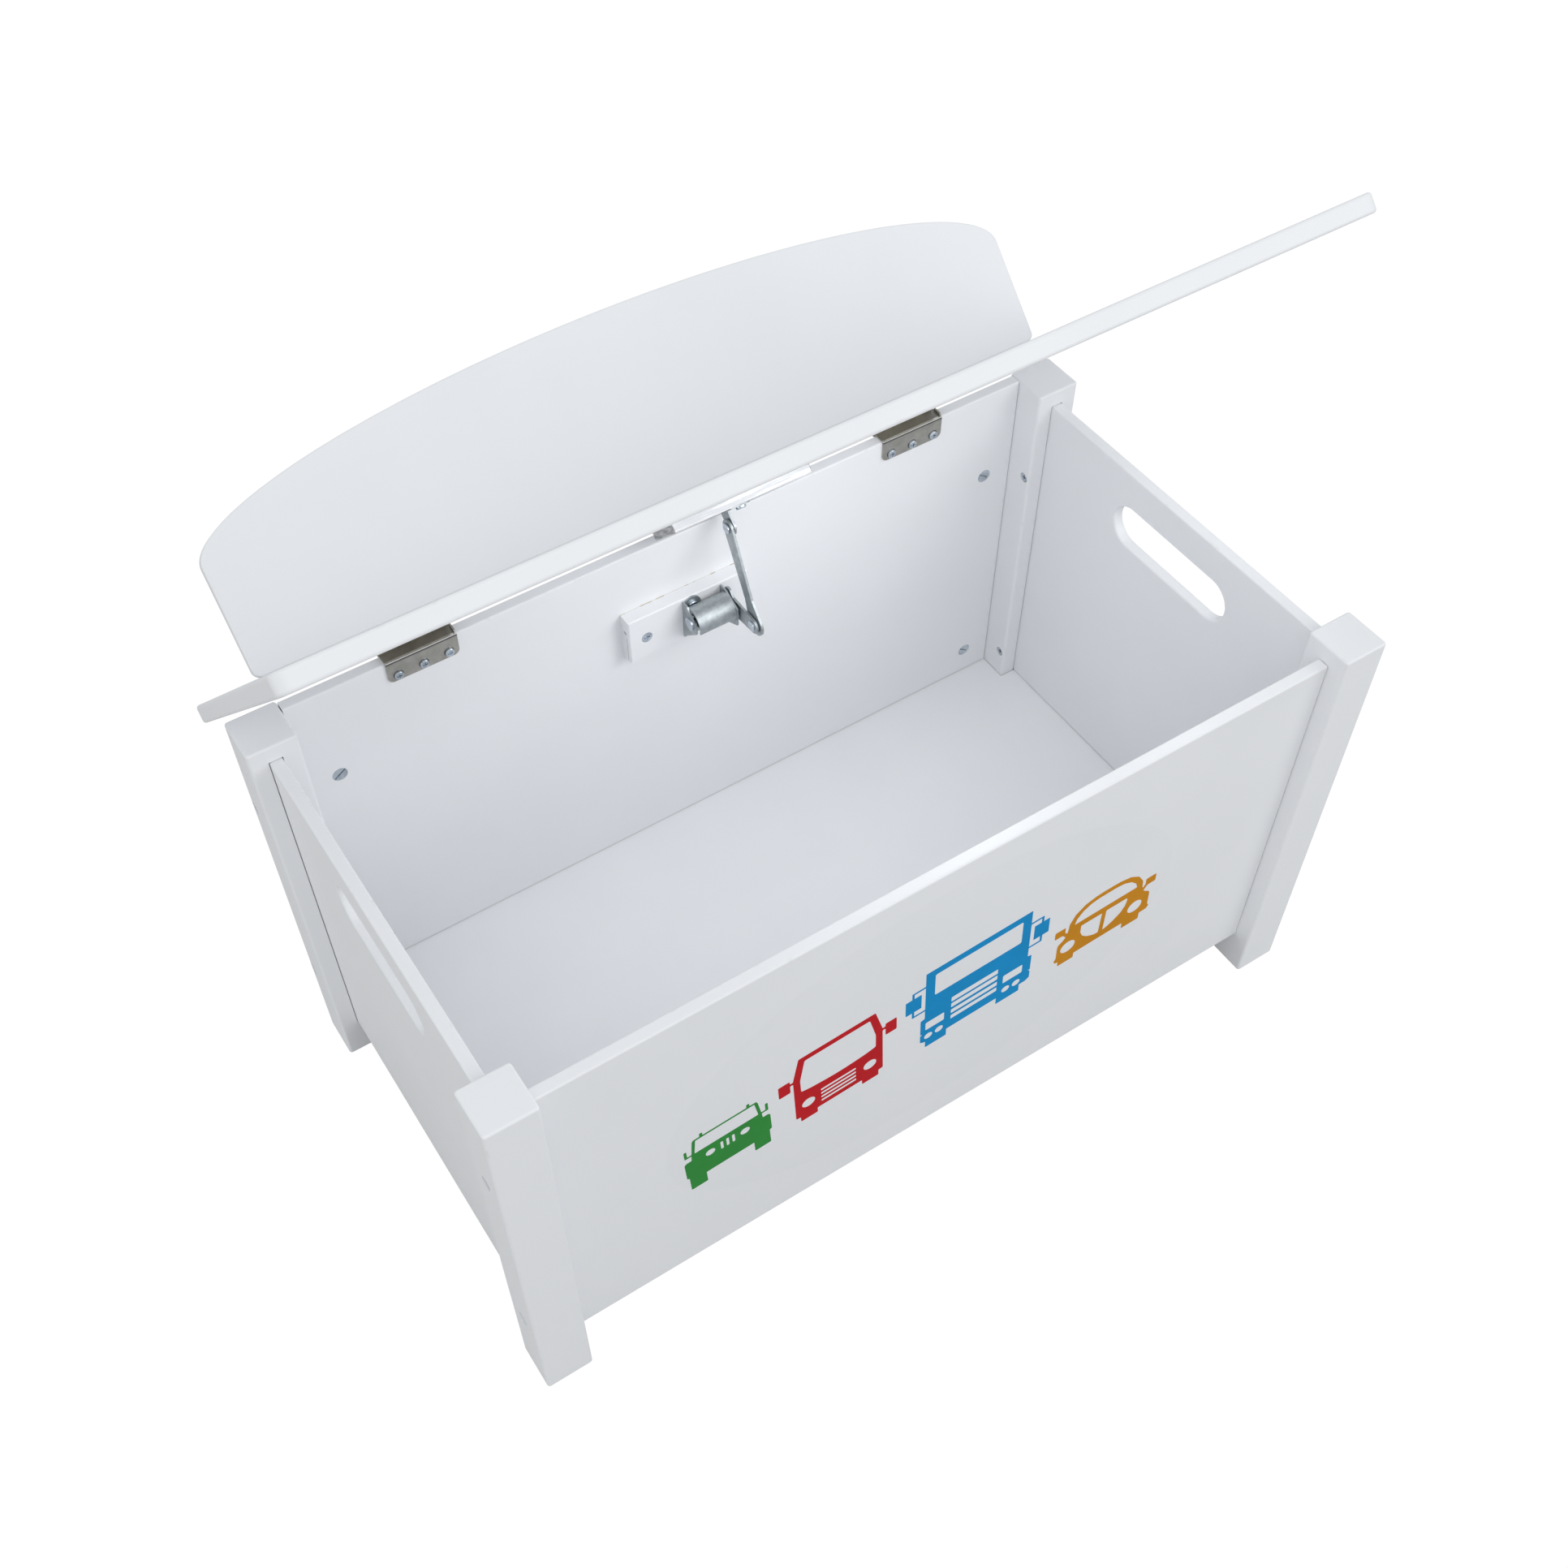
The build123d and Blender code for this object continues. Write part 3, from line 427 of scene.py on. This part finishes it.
def print_off_roader():
    half = [
        (15, 31.2), (15, 34.5), (17, 34.5), (17, 31.2), (21.5, 31.2), (22.4, 29.5),
        (24.0, 15.7), (27, 15.7), (27, 22.6), (28.8, 22.6), (28.8, 14.2), (24.2, 14.2),
        (24.6, 8.7), (28.3, 8.7), (29.7, 7.2), (29.7, -10), (28.1, -11),
        (28.1, -26.2), (16.8, -26.2), (16.8, -15.3),
    ]
    windows = [(mirrored([(20.2, 29.6), (22.0, 15.2)]), 0.8)]
    for u in (-4, 0, 4):
        windows.append((rectangle(u - 0.95, u + 0.95, 1.3, 10.2), 0.9))
    lamps = [(-12, 5.8, 3.3), (12, 5.8, 3.3)]
    ink = (0.032, 0.283, 0.046)
    print_vehicle(
        "print_off_roader", (-156, 150), 3.7, ink, (mirrored(half), 0.6), windows, lamps
    )


def print_bus():
    half = [
        (27, 36.5), (31.5, 16), (31.7, 14.3), (34, 14.3), (34, 17.4), (42, 17.4),
        (42, 4.4), (34, 4.4), (34, 12), (31.8, 12), (31.7, -32.5), (28.4, -32.9),
        (28.4, -38.5), (16.3, -38.5), (16.3, -33.3),
    ]
    screen = [
        (23, 31.5), (27, 11), (26.8, -2.5), (20, -4), (10, -5), (3, -5.4),
    ]
    windows = [(shifted(mirrored(screen), 0.6), 1.2)]
    for w in (-14.2, -18.6, -23.0, -27.4):
        windows.append((rectangle(-12.6, 12.7, w - 1.15, w + 1.15), 0.5))
    lamps = [(-21.7, -19.9, 4.7), (22.9, -19.9, 4.7)]
    ink = (0.578, 0.007, 0.013)
    outline = (shifted(mirrored(half), 0.6), 1.3)
    print_vehicle("print_bus", (-79, 168), 3.4, ink, outline, windows, lamps)


def print_lorry():
    cab = [
        (39, 39), (39, 25.6), (48.8, 25.6), (48.8, 19.4), (53.5, 19.4), (53.5, 4.4),
        (48.8, 4.4), (48.8, -2.3), (39, -2.3), (39, -11.6), (42, -12.4), (42, -28.6),
        (40.2, -29.4), (42, -30.2), (42, -38), (39, -40),
    ]
    wheels = [
        (34.3, -40), (34.3, -47), (16.4, -47), (16.4, -39.8),
        (-22.1, -39.8), (-22.1, -47), (-38, -47), (-38, -40),
    ]
    outline = shifted(cab + wheels + [(-u, w) for u, w in reversed(cab)], 0.5)
    gap = [
        (39, 24), (47.2, 24), (47.2, 19.4), (42, 19.4), (42, 4.4), (47.2, 4.4),
        (47.2, -0.7), (39, -0.7),
    ]
    windows = [
        (rectangle(-31.7, 33, 9.8, 32.7), 1.4),
        (shifted(gap, 0.5), 0.3),
        (shifted([(-u, w) for u, w in reversed(gap)], 0.5), 0.3),
        (rectangle(-37.8, -23.7, -26.3, -17.5), 1.0),
        (rectangle(21, 36, -26.3, -17.5), 1.0),
    ]
    for top, foot in ((-5.1, -10.3), (-12.2, -17.0), (-19.5, -24.0), (-26.2, -30.6)):
        windows.append((rectangle(-18.7, 16.5, foot, top), 0.6))
    lamps = [(-35.4, -34.5, 3.1), (-27.3, -34.3, 3.1), (23.8, -35, 3.1), (32, -35.2, 3.1)]
    ink = (0.002, 0.287, 0.638)
    print_vehicle("print_lorry", (22.5, 180), 3.0, ink, (outline, 0.9), windows, lamps)


def print_car():
    half = [
        (4, 31.4), (10, 31), (18, 29), (25, 23.8), (29, 16), (29.6, 8.6), (30.2, 7.0),
        (32, 9.6), (32, 15.3), (40, 15.3), (40, 7.8), (33.8, 7.8), (31, 3.8), (33, 1.2),
        (36.5, -1.5), (37, -5), (37, -16), (38.5, -19), (37, -21.5),
    ]
    wheels = [
        (31, -21.8), (31, -28), (17, -28), (17, -21.8),
        (-22.3, -21.8), (-22.3, -26.8), (-34.8, -26.8), (-34.8, -21.8),
    ]
    outline = half + wheels + [(-u, w) for u, w in reversed(half)]
    screen = [(7, 27), (13, 26), (19, 22.8), (23.4, 17.5), (24.8, 12.3)]
    windows = [
        (mirrored(screen), 0.8),
        ([(-19, 6.5), (-2.3, 6.3), (-3.3, -14.7), (-7, -14.2), (-13, -10.8), (-17, -6.5),
          (-19, -1)], 0.8),
        ([(1, 6.5), (17.5, 6.3), (18.3, 4), (17, -2), (14, -7), (8, -11.7), (3, -14.2),
          (0.2, -15)], 0.8),
    ]
    lamps = [(-28.2, -9.3, 5.8), (25.8, -10, 5.8)]
    ink = (0.658, 0.266, 0.006)
    print_vehicle("print_car", (124, 165), 3.0, ink, (outline, 0.8), windows, lamps)


print_off_roader()
print_bus()
print_lorry()
print_car()


# Metals

PLATING_DEPTH = 0.00002


def plating(finish, place, colour, dark, grain):
    """Colour, height and drawn marks of cloudy plating, its clouds about grain metres across."""
    cloud = finish.noise(place, grain, 4.0, 0.65)
    drawn = finish.turned(place, scale=(0.15, 1, 1))
    marks = finish.noise(drawn, 0.0007, 3.0, 0.7)
    shade = finish.blend(finish.step(cloud * 0.8 + marks * 0.2, 0.35, 0.65), colour, dark)
    return shade, marks * 0.5 + cloud, marks


def metal(name, colour, dark, rough, scratch, grain=0.006):
    """Plated sheet or wire: cloudy plating with fine drawn marks."""
    finish = Finish(name)
    place = finish.place()
    shade, height, marks = plating(finish, place, colour, dark, grain)
    return finish.surface(
        Base_Color=shade, Metallic=1.0, Roughness=rough + scratch * marks,
        Normal=finish.bump(height, PLATING_DEPTH),
    )


LEAF_SCREW_PITCH = 0.0168
LEAF_SCREW_DROP = 0.011
BEND_RISE = 0.0012
# Colours of the painted highlight on the bend of the leaf and of the painted shadows under it
# and round the screws
BEND_PAINTED_HIGHLIGHT = (0.92, 0.90, 0.86, 1)
BEND_SHADOW = (0.06, 0.055, 0.05, 1)
SCREW_SHADOW = (0.07, 0.07, 0.07, 1)
LEAF_NICKEL = (0.50, 0.485, 0.44, 1)
LEAF_NICKEL_DARK = (0.41, 0.395, 0.355, 1)


def leaf_metal(side):
    """Nickel plate of a hinge leaf, with a painted highlight along its bend, a painted shadow
    under the bend and painted shadow round its screws.
    """
    finish = Finish("nickel_plate_" + side)
    place = finish.place()
    low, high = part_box("hinge_" + side + "_box_leaf")
    shade, height, marks = plating(finish, place, LEAF_NICKEL, LEAF_NICKEL_DARK, 0.010)
    x, y, z = finish.parts(place)
    top = HINGE.z + BEND_RISE
    on_face = 1 - finish.step(y, low.y + 0.0013, low.y + 0.0016)
    # Painted highlight: a bright band along the bend of the leaf, which is also made glossier
    # there
    bend_highlight = finish.step(z, top - 0.0009, top - 0.0006) * on_face
    # Painted shadow in a band just under the bend
    shadow_under_bend = finish.step(z, top - 0.0022, top - 0.0018) * on_face - bend_highlight
    shade = finish.blend(finish.higher(shadow_under_bend, 0) * 0.75, shade, BEND_SHADOW)
    shade = finish.blend(bend_highlight, shade, BEND_PAINTED_HIGHLIGHT)
    along = (x - (low.x + high.x) / 2) / LEAF_SCREW_PITCH
    sideways = abs(along - finish.math("ROUND", along, 0.0)) * LEAF_SCREW_PITCH
    above = z - (HINGE.z - LEAF_SCREW_DROP)
    radius = (sideways * sideways + above ** 2) ** 0.5
    # Painted shadow in a ring round each screw head
    ring = (1 - finish.step(radius, 0.0032, 0.0036)) * on_face
    shade = finish.blend(ring * 0.8, shade, SCREW_SHADOW)
    return finish.surface(
        Base_Color=shade, Metallic=1.0, Roughness=0.34 + 0.16 * marks - 0.18 * bend_highlight,
        Normal=finish.bump(height, PLATING_DEPTH),
    )


SLOT_FINISH = {
    "nickel_plated_steel": metal(
        "nickel_plate", (0.52, 0.50, 0.46, 1), (0.42, 0.40, 0.36, 1), 0.18, 0.20
    ),
    "zinc_plated_steel": metal(
        "zinc_plate", (0.50, 0.54, 0.555, 1), (0.40, 0.435, 0.45, 1), 0.42, 0.20, 0.004
    ),
    "screw_steel": metal(
        "screw_steel", (0.66, 0.72, 0.78, 1), (0.46, 0.51, 0.56, 1), 0.16, 0.12
    ),
    "spring_steel": metal(
        "spring_wire", (0.40, 0.41, 0.42, 1), (0.28, 0.29, 0.30, 1), 0.30, 0.15
    ),
}
for name, node in NODES.items():
    slot_name = node.material_slots[0].material.name.split(".")[0]
    if slot_name in SLOT_FINISH:
        dress(name, SLOT_FINISH[slot_name])
for name in (
    "box_leaf_screws", "lid_leaf_screws", "stay_bracket_screws", "lid_bracket_screw",
    "stay_axle", "lever_rivet", "lid_bracket_rivet",
):
    dress(name, SLOT_FINISH["screw_steel"])
for side in ("left", "right"):
    dress("hinge_" + side + "_box_leaf", leaf_metal(side))


# The studio

def make_camera():
    data = bpy.data.cameras.new("camera")
    data.sensor_width = 36.0
    data.lens = 41.996
    data.shift_x = 0.02124
    data.shift_y = 0.03846
    camera = bpy.data.objects.new("camera", data)
    camera.location = (-0.41249, -0.59194, 1.10894)
    turn = (math.radians(37.45364), math.radians(0.68565), math.radians(-32.74866))
    camera.rotation_euler = Euler(turn, "XYZ")
    scene.collection.objects.link(camera)
    scene.camera = camera


FLOOR_HALF = 6.0
PAPER = (0.55, 0.55, 0.55, 1)
SEEN_WHITE = 1.04
SEEN_SHARE = 0.97


def make_floor():
    """A sheet of pale paper. It looks white, but sends only part of the light back up."""
    mesh = bpy.data.meshes.new("floor")
    bm = bmesh.new()
    bmesh.ops.create_grid(bm, x_segments=1, y_segments=1, size=FLOOR_HALF)
    bm.to_mesh(mesh)
    bm.free()
    floor = bpy.data.objects.new("floor", mesh)
    scene.collection.objects.link(floor)
    finish = Finish("pale_floor")
    paper = finish.add("BsdfPrincipled", None, {"Base Color": PAPER, "Roughness": 0.9})
    white = finish.add("Emission", None, {"Color": (1, 1, 1, 1), "Strength": SEEN_WHITE})
    seen = SEEN_SHARE * finish.add("LightPath", output=0)
    finish.add_output(finish.add("MixShader", None, {0: seen, 1: paper, 2: white}))
    mesh.materials.append(finish.material)


def area_light(name, place, aim, size, power, colour):
    """A square light that the camera does not see, turned from its place to its aim."""
    data = bpy.data.lights.new(name, "AREA")
    data.size = size
    data.energy = power
    data.color = colour
    light = bpy.data.objects.new(name, data)
    light.location = place
    back = Vector(place) - Vector(aim)
    light.rotation_euler = back.to_track_quat("Z", "Y").to_euler()
    light.visible_camera = False
    scene.collection.objects.link(light)


def make_studio():
    world = bpy.data.worlds.new("studio")
    world.use_nodes = True
    backdrop = world.node_tree.nodes["Background"]
    backdrop.inputs["Color"].default_value = (0.965, 0.985, 1, 1)
    backdrop.inputs["Strength"].default_value = 0.70
    scene.world = world
    middle = (0, 0, 0.2)
    cool = (0.98, 0.99, 1.0)
    warm = (1.0, 0.985, 0.95)
    area_light("front_softbox", (1.6, -1.8, 1.5), middle, 1.4, 11.5, cool)
    area_light("high_softbox", (-0.5, -1.2, 2.3), middle, 1.4, 7.5, cool)
    area_light("left_softbox", (-2.3, -0.3, 0.35), middle, 0.8, 4.0, warm)
    # Two small ones between the box and its open lid, which shades the inside
    area_light("base_fill", (0.22, -0.04, 0.44), (-0.3, 0.08, 0.0), 0.12, 0.08, cool)
    area_light("back_fill", (0.06, -0.04, 0.40), (-0.12, 0.15, 0.08), 0.12, 0.13, cool)


make_camera()
make_floor()
make_studio()
